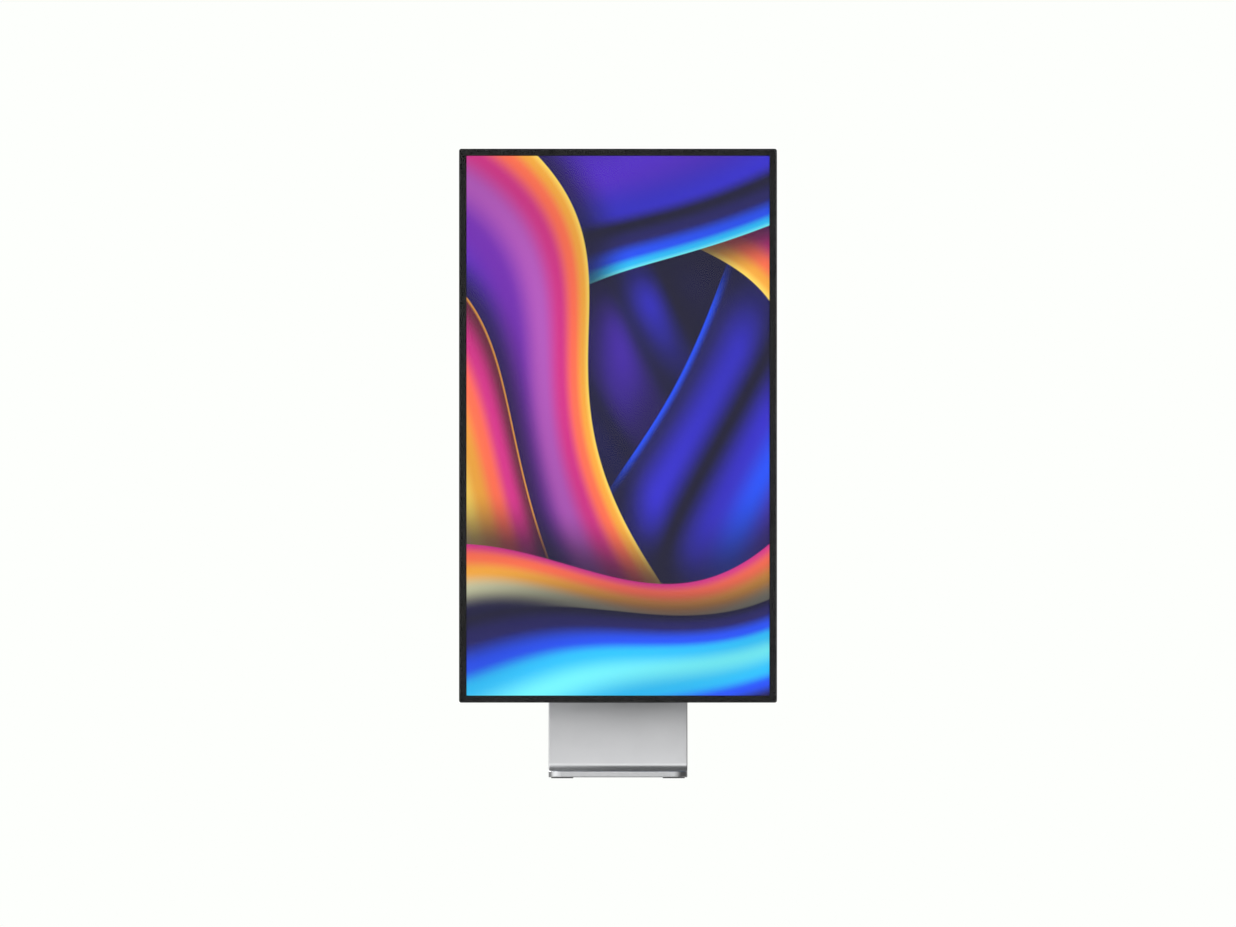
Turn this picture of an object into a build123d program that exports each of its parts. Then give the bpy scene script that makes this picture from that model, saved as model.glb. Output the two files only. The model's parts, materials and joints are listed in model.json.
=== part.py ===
"""Desktop computer monitor: a large flat display in portrait on an L-shaped aluminium stand.

Millimetres, +Z up, the screen faces -Y. The origin is on the desk, under the middle of the stand.
The display hangs on a lifting arm that is a parallelogram: the arm and a hidden levelling link
join the stand to a yoke that stays level. The tilt head turns on the yoke, and the display
rotates on the tilt head's spindle between portrait and landscape.
"""
import os
from math import cos, radians, sin

from build123d import *

os.makedirs("parts", exist_ok=True)

# ---- driving dimensions -------------------------------------------------------------------
# Display
PANEL_W = 412.0          # across, in portrait
PANEL_H = 718.0
PANEL_CORNER = 3.0
PANEL_D = 27.0
ACTIVE_W = 394.3         # lit picture
ACTIVE_H = 700.9
WALL = 2.5               # rear housing's wall
FIT = 0.3                # gap between pieces that move past each other

# Stand
STAND_W = 180.0
BASE_D = 236.0
PLATE_T = 8.1            # base plate
COLUMN_T = 22.0
FOOT_PROUD = 1.1         # rubber showing under the base plate
BASE_CORNER = 16.0       # base plate's front corners, in plan
INNER_BEND = 10.0        # concave bend between the base plate and the column
EDGE = 1.2               # rounding of the stand's edges

# Lifting arm
ARM_W = 100.0
ARM_L = 100.0
ARM_REST = 38.0          # degrees above level
BARREL_R = 17.0          # arm and stand knuckles, round the lift axle
FRONT_R = 15.5           # arm's ears, round the tilt axle
CAVITY_R = 13.0          # inside the arm
EAR_T = 11.5             # arm's end walls and ears
AXLE_R = 4.5
BUSH_R = 6.5
RUN = 0.08               # radial clearance of a running fit
CRANK = 9.0              # levelling link's pins stand this far above the two axles
PIN_R = 1.8
EYE_R = 3.4

# Tilt head
DISC_R = 64.0
DISC_T = 8.7
KNUCKLE_R = 12.5
TILT_SETBACK = 47.5      # tilt axle behind the panel's front face
SPINDLE_R = 14.0

# ---- places worked out from them ------------------------------------------------------------
BASE_Z = FOOT_PROUD
DECK_Z = FOOT_PROUD + PLATE_T
BASE_Y = BASE_D / 2
COLUMN_Y = BASE_Y - COLUMN_T
LIFT_Y = BASE_Y - BARREL_R
PANEL_Z = 457.0
TILT_Z = PANEL_Z
LIFT_Z = TILT_Z - ARM_L * sin(radians(ARM_REST))
TILT_Y = LIFT_Y - ARM_L * cos(radians(ARM_REST))
PANEL_Y = TILT_Y - TILT_SETBACK

# Depths behind the panel's front face, layer by layer
D_GLASS = 1.2
D_MASK_FRONT = 1.25      # the adhesive between them is left out
D_MASK = 1.4
D_CELL = 2.6
D_FILMS = 3.6
D_DIFFUSER = 5.2
D_LEDS = 7.6
D_LED_BOARD = 8.2
D_CHASSIS = 9.0
D_CAVITY = 9.8
D_BOARDS = 13.0
BOARD_T = 1.6
D_BACKBONE = 16.4
BACKBONE_T = 3.0
D_RECESS_WALL = 19.5
D_RECESS = 22.0
D_DISC = D_RECESS + FIT
D_DISC_REAR = D_DISC + DISC_T
D_WALL = PANEL_D - WALL

SIDE = Plane.YZ
NEAR = 0.01              # lengths closer than this are the same
THROUGH = 2 * STAND_W    # a cut this long goes right through


def layer(depth):
    """Plane parallel to the screen at this depth, seen from the front: local x is X, y is Z."""
    return Plane(origin=(0, PANEL_Y + depth, PANEL_Z), x_dir=(1, 0, 0), z_dir=(0, -1, 0))


def keep(piece, name):
    """Label a finished piece and write it as its own file."""
    piece.part.label = name
    export_step(piece.part, f"parts/{name}.step")


def slab(front, rear, width, height, corner=0.0, mode=Mode.ADD):
    """A plate parallel to the screen, between two depths."""
    with BuildSketch(layer(rear)) as outline:
        if corner:
            RectangleRounded(width, height, corner)
        else:
            Rectangle(width, height)
    extrude(outline.sketch, amount=rear - front, mode=mode)


def ring_slab(front, rear, outer, inner, corner=0.0):
    """A rectangular ring parallel to the screen; outer and inner are (width, height)."""
    with BuildSketch(layer(rear)) as ring:
        if corner:
            RectangleRounded(*outer, corner)
        else:
            Rectangle(*outer)
        Rectangle(*inner, mode=Mode.SUBTRACT)
    extrude(ring.sketch, amount=rear - front)


def discs(front, rear, radius, spots=((0, 0),), mode=Mode.ADD):
    """Round pieces square to the screen, between two depths, at (x, z) spots from its middle."""
    with BuildSketch(layer(rear)) as rounds:
        with Locations(*spots):
            Circle(radius)
    extrude(rounds.sketch, amount=rear - front, mode=mode)


def blocks(front, rear, items):
    """Rectangular pieces between two depths; items are (x, z, width, height)."""
    with BuildSketch(layer(rear)) as outlines:
        for x, z, width, height in items:
            with Locations((x, z)):
                Rectangle(width, height)
    extrude(outlines.sketch, amount=rear - front)


def edges_on_side(part, half_width):
    """Edges that lie in the two side faces at X = +-half_width."""
    return [edge for edge in part.edges()
            if abs(abs(edge.center().X) - half_width) < NEAR
            and abs(edge.bounding_box().size.X) < NEAR]


# ---- stand ----------------------------------------------------------------------------------
SLOT_HALF = ARM_W / 2 + 1.0
SLOT_DROP = BARREL_R + 4.0
SLOT_BLOCK = BARREL_R * 4
CAP_R = 13.0
CAP_T = 2.0
CAP_EDGE = 0.4
CAP_SEAT_X = STAND_W / 2 - 12.0
NECK_ROUND = 3.4         # where the column's front face meets the knuckles
COVER_HALF_W = 78.0
COVER_LOW = 24.0
COVER_HIGH = 366.0
COVER_T = 2.6
COVER_LEDGE = 6.0
COVER_CORNER = 6.0
HOLLOW_CORNER = 5.0
COLUMN_WALL = 5.0
COVER_SCREW_IN = 3.0     # cover screws, from its side edges and from its ends
COVER_SCREW_END = 12.0
COVER_SCREW_R = 1.5
COVER_SCREW_HEAD_R = 2.7
COVER_SCREW_HEAD_T = 1.4
COVER_SCREW_DEEP = 10.0
SCREW_FIT = 0.05         # radial room round a screw's shank
HEAD_FIT = 0.1           # radial room round a screw's head
CONE = 30                # degrees, a countersunk head's side
HEX_R = 1.1
HEX_DEEP = 0.9
FOOT_W = 28.5
FOOT_L = 220.0
FOOT_T = 2.6
FOOT_X = STAND_W / 2 - 3.5 - FOOT_W / 2
FOOT_CORNER = 10.0

cover_middle_z = (COVER_LOW + COVER_HIGH) / 2
cover_middle = (0, cover_middle_z)
cover_height = COVER_HIGH - COVER_LOW
cover_face = Plane(origin=(0, BASE_Y, 0), x_dir=(-1, 0, 0), z_dir=(0, 1, 0))
cover_screw_rows = (COVER_LOW + COVER_SCREW_END, cover_middle_z, COVER_HIGH - COVER_SCREW_END)
cover_screw_spots = [(x, z) for x in (COVER_SCREW_IN - COVER_HALF_W, COVER_HALF_W - COVER_SCREW_IN)
                     for z in cover_screw_rows]

with BuildPart() as stand_frame:
    with BuildSketch(SIDE) as outline:
        with Locations((0, BASE_Z + PLATE_T / 2)):
            Rectangle(BASE_D, PLATE_T)
        with Locations((BASE_Y - COLUMN_T / 2, (BASE_Z + LIFT_Z) / 2)):
            Rectangle(COLUMN_T, LIFT_Z - BASE_Z)
        with Locations((LIFT_Y, LIFT_Z)):
            Circle(BARREL_R)
        rear_heel = outline.vertices().sort_by(Axis.Y)[:2].sort_by(Axis.X)[-1]
        fillet(rear_heel, INNER_BEND)
        inner_corner = outline.vertices().sort_by_distance((COLUMN_Y, DECK_Z))[0]
        fillet(inner_corner, INNER_BEND)
        barrel_neck = outline.vertices().sort_by_distance((COLUMN_Y, LIFT_Z - BARREL_R))[0]
        fillet(barrel_neck, NECK_ROUND)
    extrude(amount=STAND_W / 2, both=True)
    front_corners = stand_frame.edges().filter_by(Axis.Z).group_by(Axis.Y)[0]
    fillet(front_corners, BASE_CORNER)
    rims = edges_on_side(stand_frame, STAND_W / 2)
    lips = [edge for edge in stand_frame.edges()
            if edge.center().Y < -BASE_Y + BASE_CORNER and edge.bounding_box().size.Z < NEAR]
    fillet(rims + lips, EDGE)
    # slot between the two knuckles, for the arm
    with BuildSketch(SIDE):
        with Locations((LIFT_Y, LIFT_Z - SLOT_DROP + SLOT_BLOCK / 2)):
            Rectangle(SLOT_BLOCK, SLOT_BLOCK)
    extrude(amount=SLOT_HALF, both=True, mode=Mode.SUBTRACT)
    # lift axle's bore, and a wider seat at each end for its head and the end cap
    with BuildSketch(SIDE):
        with Locations((LIFT_Y, LIFT_Z)):
            Circle(AXLE_R)
    extrude(amount=THROUGH, both=True, mode=Mode.SUBTRACT)
    for end in (1, -1):
        with BuildSketch(SIDE.offset(end * CAP_SEAT_X)):
            with Locations((LIFT_Y, LIFT_Z)):
                Circle(CAP_R)
        extrude(amount=end * THROUGH, mode=Mode.SUBTRACT)
    # hollow column, open at the back
    with BuildSketch(cover_face):
        with Locations(cover_middle):
            RectangleRounded(COVER_HALF_W * 2, cover_height, COVER_CORNER)
    extrude(amount=-COVER_T, mode=Mode.SUBTRACT)
    with BuildSketch(cover_face):
        with Locations(cover_middle):
            RectangleRounded((COVER_HALF_W - COVER_LEDGE) * 2, cover_height - COVER_LEDGE * 2,
                             HOLLOW_CORNER)
    extrude(amount=-(COLUMN_T - COLUMN_WALL), mode=Mode.SUBTRACT)
    with BuildSketch(cover_face):
        with Locations(*cover_screw_spots):
            Circle(COVER_SCREW_R)
    extrude(amount=-COVER_SCREW_DEEP, mode=Mode.SUBTRACT)
    # pockets for the two rubber feet
    with BuildSketch(Plane.XY.offset(BASE_Z)):
        with Locations((FOOT_X, 0), (-FOOT_X, 0)):
            RectangleRounded(FOOT_W, FOOT_L, FOOT_CORNER)
    extrude(amount=FOOT_T - FOOT_PROUD, mode=Mode.SUBTRACT)
keep(stand_frame, "stand_frame")

with BuildPart() as foot_pads:
    with BuildSketch():
        with Locations((FOOT_X, 0), (-FOOT_X, 0)):
            RectangleRounded(FOOT_W, FOOT_L, FOOT_CORNER)
    extrude(amount=FOOT_T)
keep(foot_pads, "foot_pads")

with BuildPart() as column_rear_cover:
    with BuildSketch(cover_face):
        with Locations(cover_middle):
            RectangleRounded(COVER_HALF_W * 2 - FIT, cover_height - FIT, COVER_CORNER)
        with Locations(*cover_screw_spots):
            Circle(COVER_SCREW_R, mode=Mode.SUBTRACT)
    extrude(amount=-COVER_T)
    with BuildSketch(cover_face):
        with Locations(*cover_screw_spots):
            Circle(COVER_SCREW_HEAD_R + HEAD_FIT)
    extrude(amount=-COVER_SCREW_HEAD_T - HEAD_FIT, taper=CONE, mode=Mode.SUBTRACT)
keep(column_rear_cover, "column_rear_cover")

with BuildPart() as rear_cover_screws:
    with BuildSketch(cover_face):
        with Locations(*cover_screw_spots):
            Circle(COVER_SCREW_HEAD_R)
    extrude(amount=-COVER_SCREW_HEAD_T, taper=CONE)
    with BuildSketch(cover_face.offset(-COVER_SCREW_HEAD_T / 2)):
        with Locations(*cover_screw_spots):
            Circle(COVER_SCREW_R - SCREW_FIT)
    extrude(amount=HEAD_FIT + COVER_SCREW_HEAD_T - COVER_SCREW_DEEP)
    with BuildSketch(cover_face):
        with Locations(*cover_screw_spots):
            RegularPolygon(HEX_R, 6)
    extrude(amount=-HEX_DEEP, mode=Mode.SUBTRACT)
keep(rear_cover_screws, "rear_cover_screws")

AXLE_HEAD_T = 5.0
AXLE_HEAD_R = 7.5
with BuildPart() as lift_axle:
    with BuildSketch(SIDE):
        with Locations((LIFT_Y, LIFT_Z)):
            Circle(AXLE_R)
    extrude(amount=CAP_SEAT_X, both=True)
    for end in (1, -1):
        with BuildSketch(SIDE.offset(end * CAP_SEAT_X)):
            with Locations((LIFT_Y, LIFT_Z)):
                RegularPolygon(AXLE_HEAD_R, 6)
        extrude(amount=end * AXLE_HEAD_T)
keep(lift_axle, "lift_axle")

with BuildPart() as barrel_end_caps:
    for end in (1, -1):
        with BuildSketch(SIDE.offset(end * STAND_W / 2)):
            with Locations((LIFT_Y, LIFT_Z)):
                Circle(CAP_R)
        extrude(amount=-end * CAP_T)
    fillet(barrel_end_caps.edges().filter_by(GeomType.CIRCLE).group_by(Axis.X)[0], CAP_EDGE)
    fillet(barrel_end_caps.edges().filter_by(GeomType.CIRCLE).group_by(Axis.X)[-1], CAP_EDGE)
keep(barrel_end_caps, "barrel_end_caps")

# ---- parallelogram: two crank pairs, the levelling link and the arm -------------------------
LINK_HALF_W = 3.0
LINK_T = 4.0
CRANK_GAP = LINK_HALF_W + 0.4
CRANK_R = 12.0


def crank_pair(axle_y, axle_z, outer_x):
    """Two cheeks keyed to an axle, with a pin across them that the levelling link's eye turns on."""
    with BuildSketch(SIDE.offset(CRANK_GAP)) as cheek:
        with Locations((axle_y, axle_z)):
            Circle(CRANK_R)
            Circle(AXLE_R, mode=Mode.SUBTRACT)
    extrude(cheek.sketch, amount=outer_x - CRANK_GAP)
    mirror(about=SIDE)
    with BuildSketch(SIDE) as pin:
        with Locations((axle_y, axle_z + CRANK)):
            Circle(PIN_R)
    extrude(pin.sketch, amount=outer_x, both=True)


ANCHOR_X = 12.0
with BuildPart() as link_anchor:
    crank_pair(LIFT_Y, LIFT_Z, ANCHOR_X)
keep(link_anchor, "link_anchor")

YOKE_X = 15.0
with BuildPart() as levelling_yoke:
    crank_pair(TILT_Y, TILT_Z, YOKE_X)
keep(levelling_yoke, "levelling_yoke")

arm_side = Plane(
    origin=(0, LIFT_Y, LIFT_Z),
    x_dir=(0, -cos(radians(ARM_REST)), sin(radians(ARM_REST))),
    z_dir=(-1, 0, 0),
)
link_side = Plane(
    origin=(0, LIFT_Y, LIFT_Z + CRANK), x_dir=arm_side.x_dir, z_dir=(-1, 0, 0)
)

with BuildPart() as levelling_link:
    with BuildSketch(link_side):
        with Locations((ARM_L / 2, 0)):
            Rectangle(ARM_L, LINK_T)
        with Locations((0, 0), (ARM_L, 0)):
            Circle(EYE_R)
        Circle(PIN_R + RUN, mode=Mode.SUBTRACT)
        with Locations((ARM_L, 0)):
            Circle(PIN_R + 2 * RUN, mode=Mode.SUBTRACT)
    extrude(amount=LINK_HALF_W, both=True)
keep(levelling_link, "levelling_link")

SPRING_TURNS = 6
SPRING_PITCH = 3.5
SPRING_WIRE_R = 1.5
SPRING_R = 9.5
SPRING_X = 15.0
with BuildPart() as counterbalance_springs:
    with BuildLine() as coil:
        Helix(SPRING_PITCH, SPRING_PITCH * SPRING_TURNS, SPRING_R,
              center=(SPRING_X, LIFT_Y, LIFT_Z), direction=(1, 0, 0))
    with BuildSketch(Plane(origin=coil.line @ 0, z_dir=coil.line % 0)):
        Circle(SPRING_WIRE_R)
    sweep(is_frenet=True)
    mirror(about=SIDE)
keep(counterbalance_springs, "counterbalance_springs")

ARM_HALF = ARM_W / 2
CLEVIS_HALF = ARM_HALF - EAR_T
CLEVIS_CLEAR_R = KNUCKLE_R + 0.8
CLEVIS_BLOCK = 40.0      # clears everything between the ears from CLEVIS_START outwards
CLEVIS_START = -12.0     # along the arm, from the tilt axle
WINDOW_U = (24.0, 76.0)
WINDOW_HALF = 33.0
WINDOW_GAP = 0.2


def arm_hull():
    """The arm's outer body: tangent faces round its two pivots."""
    with BuildSketch(arm_side) as hull:
        Circle(BARREL_R)
        with Locations((ARM_L, 0)):
            Circle(FRONT_R)
        make_hull()
    extrude(hull.sketch, amount=ARM_HALF, both=True)


def arm_cavity():
    """The hollow inside the arm, between its end walls."""
    with BuildSketch(arm_side) as hollow:
        with Locations((ARM_L / 2, 0)):
            SlotCenterToCenter(ARM_L, CAVITY_R * 2)
    extrude(hollow.sketch, amount=CLEVIS_HALF, both=True, mode=Mode.SUBTRACT)


def window(gap, mode):
    """The service window's block under the arm, smaller by a gap all round."""
    low, high = WINDOW_U
    with BuildSketch(arm_side) as opening:
        with Locations(((low + high) / 2, -BARREL_R)):
            Rectangle(high - low - 2 * gap, BARREL_R)
    extrude(opening.sketch, amount=WINDOW_HALF - gap, both=True, mode=mode)


with BuildPart() as arm_casting:
    arm_hull()
    fillet(edges_on_side(arm_casting, ARM_HALF), EDGE)
    arm_cavity()
    with BuildSketch(arm_side):
        with Locations((ARM_L, 0)):
            Circle(CLEVIS_CLEAR_R)
        with Locations((ARM_L + CLEVIS_START + CLEVIS_BLOCK / 2, 0)):
            Rectangle(CLEVIS_BLOCK, CLEVIS_BLOCK)
    extrude(amount=CLEVIS_HALF, both=True, mode=Mode.SUBTRACT)
    with BuildSketch(arm_side):
        with Locations((0, 0), (ARM_L, 0)):
            Circle(BUSH_R)
    extrude(amount=ARM_W, both=True, mode=Mode.SUBTRACT)
    window(0, Mode.SUBTRACT)
keep(arm_casting, "arm_casting")

with BuildPart() as arm_lower_cover:
    arm_hull()
    arm_cavity()
    window(WINDOW_GAP, Mode.INTERSECT)
keep(arm_lower_cover, "arm_lower_cover")


def bushes(along):
    """The pair of plain bushes in the arm's end walls, at this distance along the arm."""
    with BuildSketch(arm_side.offset(CLEVIS_HALF)) as bush:
        with Locations((along, 0)):
            Circle(BUSH_R)
            Circle(AXLE_R + RUN, mode=Mode.SUBTRACT)
    extrude(bush.sketch, amount=EAR_T)
    mirror(about=SIDE)


with BuildPart() as lift_bushes:
    bushes(0)
keep(lift_bushes, "lift_bushes")

with BuildPart() as tilt_bushes:
    bushes(ARM_L)
keep(tilt_bushes, "tilt_bushes")

# ---- tilt axle, washers and tilt head --------------------------------------------------------
KNUCKLE_IN = YOKE_X + 1.0
KNUCKLE_OUT = CLEVIS_HALF - 0.5
BRACKET_T = 3.5
BRACKET_HALF_H = 28.0
BRACKET_CORNER = 4.0
WASHER_R = 11.0
WASHER_T = 0.7
TILT_END_X = ARM_HALF + 0.5
TILT_HEAD_T = 2.5
TILT_HEAD_R = 8.5
TILT_HEAD_EDGE = 0.8
DISC_SCREW_X = 27.0
DISC_SCREW_Z = 21.0
DISC_SCREW_R = 1.95
DISC_SCREW_HEAD_R = 3.9
DISC_SCREW_HEAD_T = 2.4
DISC_SCREW_HEX_R = 1.6
DISC_SCREW_HEX_DEEP = 1.4
DISC_REAR_Y = PANEL_Y + D_DISC_REAR
disc_screw_spots = [(x, z) for x in (-DISC_SCREW_X, DISC_SCREW_X)
                    for z in (-DISC_SCREW_Z, DISC_SCREW_Z)]

with BuildPart() as tilt_axle:
    with BuildSketch(SIDE):
        with Locations((TILT_Y, TILT_Z)):
            Circle(AXLE_R)
    extrude(amount=TILT_END_X, both=True)
    for end in (1, -1):
        with BuildSketch(SIDE.offset(end * TILT_END_X)):
            with Locations((TILT_Y, TILT_Z)):
                Circle(TILT_HEAD_R)
        extrude(amount=end * TILT_HEAD_T)
    fillet(tilt_axle.edges().filter_by(GeomType.CIRCLE).group_by(Axis.X)[0], TILT_HEAD_EDGE)
    fillet(tilt_axle.edges().filter_by(GeomType.CIRCLE).group_by(Axis.X)[-1], TILT_HEAD_EDGE)
keep(tilt_axle, "tilt_axle")

with BuildPart() as tilt_friction_washers:
    with BuildSketch(SIDE.offset(YOKE_X)):
        with Locations((TILT_Y, TILT_Z)):
            Circle(WASHER_R)
            Circle(AXLE_R, mode=Mode.SUBTRACT)
    extrude(amount=WASHER_T)
    mirror(about=SIDE)
keep(tilt_friction_washers, "tilt_friction_washers")

with BuildPart() as tilt_bracket:
    with BuildSketch(SIDE.offset(KNUCKLE_IN)):
        with Locations((TILT_Y, TILT_Z)):
            Circle(KNUCKLE_R)
        with Locations(((DISC_REAR_Y + TILT_Y) / 2, TILT_Z)):
            Rectangle(TILT_Y - DISC_REAR_Y, KNUCKLE_R * 2)
        with Locations((TILT_Y, TILT_Z)):
            Circle(AXLE_R + RUN, mode=Mode.SUBTRACT)
    extrude(amount=KNUCKLE_OUT - KNUCKLE_IN)
    mirror(about=SIDE)
    slab(D_DISC_REAR, D_DISC_REAR + BRACKET_T, KNUCKLE_OUT * 2, BRACKET_HALF_H * 2, BRACKET_CORNER)
    discs(D_DISC_REAR, D_DISC_REAR + BRACKET_T, DISC_SCREW_R + SCREW_FIT, disc_screw_spots,
          Mode.SUBTRACT)
keep(tilt_bracket, "tilt_bracket")

BOLT_HALF = 4.0
BOLT_T = 3.0
BOLT_LOW = 40.0
BOLT_HIGH = 63.3
BOLT_TRAVEL = 4.5
TAB_LOW = 43.0
TAB_HIGH = 51.0
LOCK_COVER_HALF = 9.0
LOCK_COVER_LOW = 36.0
LOCK_COVER_HIGH = 59.0
LOCK_COVER_CORNER = 3.0
LOCK_COVER_GAP = 0.2
TAB_PROUD = 2.2
TAB_CORNER = 1.2
TAB_EDGE = 0.6
BOLT_NOSE = 1.0
CHANNEL_LOW = BOLT_LOW - FIT
CHANNEL_HIGH = DISC_R + 2.0
DISC_EDGE = 1.0
SPINDLE_WALL = 5.0
COLLAR_R = 12.0          # spindle's end, which the retainer is pressed on
D_BOLT = 25.6
D_LOCK_COVER = 28.9
CABLE_HOLE_R = 10.0
FLANGE_R = 20.0
FLANGE_T = 2.5
lock_cover_z = (LOCK_COVER_LOW + LOCK_COVER_HIGH) / 2
tab_slot_z = (TAB_LOW + TAB_HIGH + BOLT_TRAVEL) / 2
tab_slot_h = TAB_HIGH - TAB_LOW + BOLT_TRAVEL + 2 * FIT

with BuildPart() as mount_disc:
    discs(D_DISC, D_DISC_REAR, DISC_R)
    rear_rim = mount_disc.edges().filter_by(GeomType.CIRCLE).group_by(Axis.Y)[-1]
    fillet(rear_rim, DISC_EDGE)
    discs(D_DISC, D_DISC_REAR, CABLE_HOLE_R, mode=Mode.SUBTRACT)
    discs(D_DISC, D_DISC + FLANGE_T, FLANGE_R, mode=Mode.SUBTRACT)
    discs(D_DISC, D_DISC_REAR, DISC_SCREW_R + SCREW_FIT, disc_screw_spots, Mode.SUBTRACT)
    discs(D_DISC, D_DISC + DISC_SCREW_HEAD_T, DISC_SCREW_HEAD_R + HEAD_FIT, disc_screw_spots,
          Mode.SUBTRACT)
    with BuildSketch(layer(D_LOCK_COVER)):
        with Locations((0, (CHANNEL_LOW + CHANNEL_HIGH) / 2)):
            Rectangle(2 * (BOLT_HALF + FIT), CHANNEL_HIGH - CHANNEL_LOW)
    extrude(amount=D_LOCK_COVER - D_BOLT + FIT, mode=Mode.SUBTRACT)
    with BuildSketch(layer(D_DISC_REAR)):
        with Locations((0, lock_cover_z)):
            RectangleRounded(2 * LOCK_COVER_HALF, LOCK_COVER_HIGH - LOCK_COVER_LOW, LOCK_COVER_CORNER)
    extrude(amount=D_DISC_REAR - D_LOCK_COVER, mode=Mode.SUBTRACT)
keep(mount_disc, "mount_disc")

with BuildPart() as lock_cover:
    with BuildSketch(layer(D_DISC_REAR)):
        with Locations((0, lock_cover_z)):
            RectangleRounded(2 * LOCK_COVER_HALF - LOCK_COVER_GAP,
                             LOCK_COVER_HIGH - LOCK_COVER_LOW - LOCK_COVER_GAP, LOCK_COVER_CORNER)
        with Locations((0, tab_slot_z)):
            Rectangle(2 * (BOLT_HALF + FIT), tab_slot_h, mode=Mode.SUBTRACT)
    extrude(amount=D_DISC_REAR - D_LOCK_COVER)
keep(lock_cover, "lock_cover")

with BuildPart() as lock_bolt:
    with BuildSketch(layer(D_BOLT + BOLT_T)):
        with Locations((0, (BOLT_LOW + BOLT_HIGH) / 2)):
            Rectangle(2 * BOLT_HALF, BOLT_HIGH - BOLT_LOW)
    extrude(amount=BOLT_T)
    fillet(lock_bolt.edges().filter_by(Axis.Y).group_by(Axis.Z)[-1], BOLT_NOSE)
keep(lock_bolt, "lock_bolt")

with BuildPart() as lock_thumb_tab:
    with BuildSketch(layer(D_DISC_REAR + TAB_PROUD)):
        with Locations((0, (TAB_LOW + TAB_HIGH) / 2)):
            RectangleRounded(2 * BOLT_HALF, TAB_HIGH - TAB_LOW, TAB_CORNER)
    extrude(amount=D_DISC_REAR + TAB_PROUD - D_BOLT - BOLT_T)
    fillet(lock_thumb_tab.faces().sort_by(Axis.Y)[-1].edges(), TAB_EDGE)
keep(lock_thumb_tab, "lock_thumb_tab")

D_RETAINER = 13.0
RETAINER_T = 2.5
with BuildPart() as rotation_spindle:
    discs(D_RETAINER, D_DISC, SPINDLE_R)
    discs(D_DISC, D_DISC + FLANGE_T, FLANGE_R)
    discs(D_RETAINER, D_RETAINER + RETAINER_T, SPINDLE_R, mode=Mode.SUBTRACT)
    discs(D_RETAINER, D_RETAINER + RETAINER_T, COLLAR_R)
    discs(D_RETAINER, D_DISC + FLANGE_T, SPINDLE_R - SPINDLE_WALL, mode=Mode.SUBTRACT)
keep(rotation_spindle, "rotation_spindle")

with BuildPart() as spindle_retainer:
    discs(D_RETAINER, D_RETAINER + RETAINER_T, FLANGE_R)
    discs(D_RETAINER, D_RETAINER + RETAINER_T, COLLAR_R, mode=Mode.SUBTRACT)
keep(spindle_retainer, "spindle_retainer")

with BuildPart() as disc_screws:
    discs(D_DISC, D_DISC + DISC_SCREW_HEAD_T, DISC_SCREW_HEAD_R, disc_screw_spots)
    discs(D_DISC + DISC_SCREW_HEAD_T, D_DISC_REAR + BRACKET_T, DISC_SCREW_R, disc_screw_spots)
    discs(D_DISC, D_DISC + DISC_SCREW_HEX_DEEP, DISC_SCREW_HEX_R, disc_screw_spots, Mode.SUBTRACT)
keep(disc_screws, "disc_screws")

# ---- display: front to back ------------------------------------------------------------------
GLASS_GAP = 1.4          # trim ring's width, with the glass's own gap
GLASS_W = PANEL_W - 2 * GLASS_GAP
GLASS_H = PANEL_H - 2 * GLASS_GAP
CELL_W = 398.0
CELL_H = 705.0
STACK_W = 396.0          # films, diffuser and backlight tray
STACK_H = 703.0
SHEET_GAP = 0.1
TRIM_GAP = 0.1           # round the glass, inside the trim ring
TRIM_EDGE = 0.5
LED_COLUMNS = 8
LED_ROWS = 14
LED_PITCH = (48.0, 49.0)
LED_SIZE = 5.0
LED_BOARD_INSET = 3.0
CHASSIS_WALL = 1.0
FRAME_GAP = 0.2          # panel frame to housing
CELL_GAP = 0.5
INNER_CORNER = PANEL_CORNER - 1.0

with BuildPart() as front_trim_ring:
    with BuildSketch(layer(D_MASK)):
        RectangleRounded(PANEL_W, PANEL_H, PANEL_CORNER)
        RectangleRounded(GLASS_W + 2 * TRIM_GAP, GLASS_H + 2 * TRIM_GAP, INNER_CORNER,
                         mode=Mode.SUBTRACT)
    extrude(amount=D_MASK)
    fillet(front_trim_ring.faces().sort_by(Axis.Y)[0].outer_wire().edges(), TRIM_EDGE)
keep(front_trim_ring, "front_trim_ring")

with BuildPart() as cover_glass:
    slab(0, D_GLASS, GLASS_W, GLASS_H, INNER_CORNER)
keep(cover_glass, "cover_glass")

with BuildPart() as glass_border_mask:
    ring_slab(D_MASK_FRONT, D_MASK, (GLASS_W, GLASS_H), (ACTIVE_W, ACTIVE_H), INNER_CORNER)
keep(glass_border_mask, "glass_border_mask")

with BuildPart() as lcd_cell:
    slab(D_MASK, D_CELL, CELL_W, CELL_H)
keep(lcd_cell, "lcd_cell")

with BuildPart() as optical_films:
    slab(D_CELL + SHEET_GAP, D_FILMS, STACK_W, STACK_H)
keep(optical_films, "optical_films")

with BuildPart() as diffuser_plate:
    slab(D_FILMS + SHEET_GAP, D_DIFFUSER, STACK_W, STACK_H)
keep(diffuser_plate, "diffuser_plate")

with BuildPart() as backlight_leds:
    with BuildSketch(layer(D_LED_BOARD)):
        with GridLocations(*LED_PITCH, LED_COLUMNS, LED_ROWS):
            Rectangle(LED_SIZE, LED_SIZE)
    extrude(amount=D_LED_BOARD - D_LEDS)
keep(backlight_leds, "backlight_leds")

with BuildPart() as backlight_board:
    slab(D_LED_BOARD, D_CHASSIS, STACK_W - 2 * LED_BOARD_INSET, STACK_H - 2 * LED_BOARD_INSET)
keep(backlight_board, "backlight_board")

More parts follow.
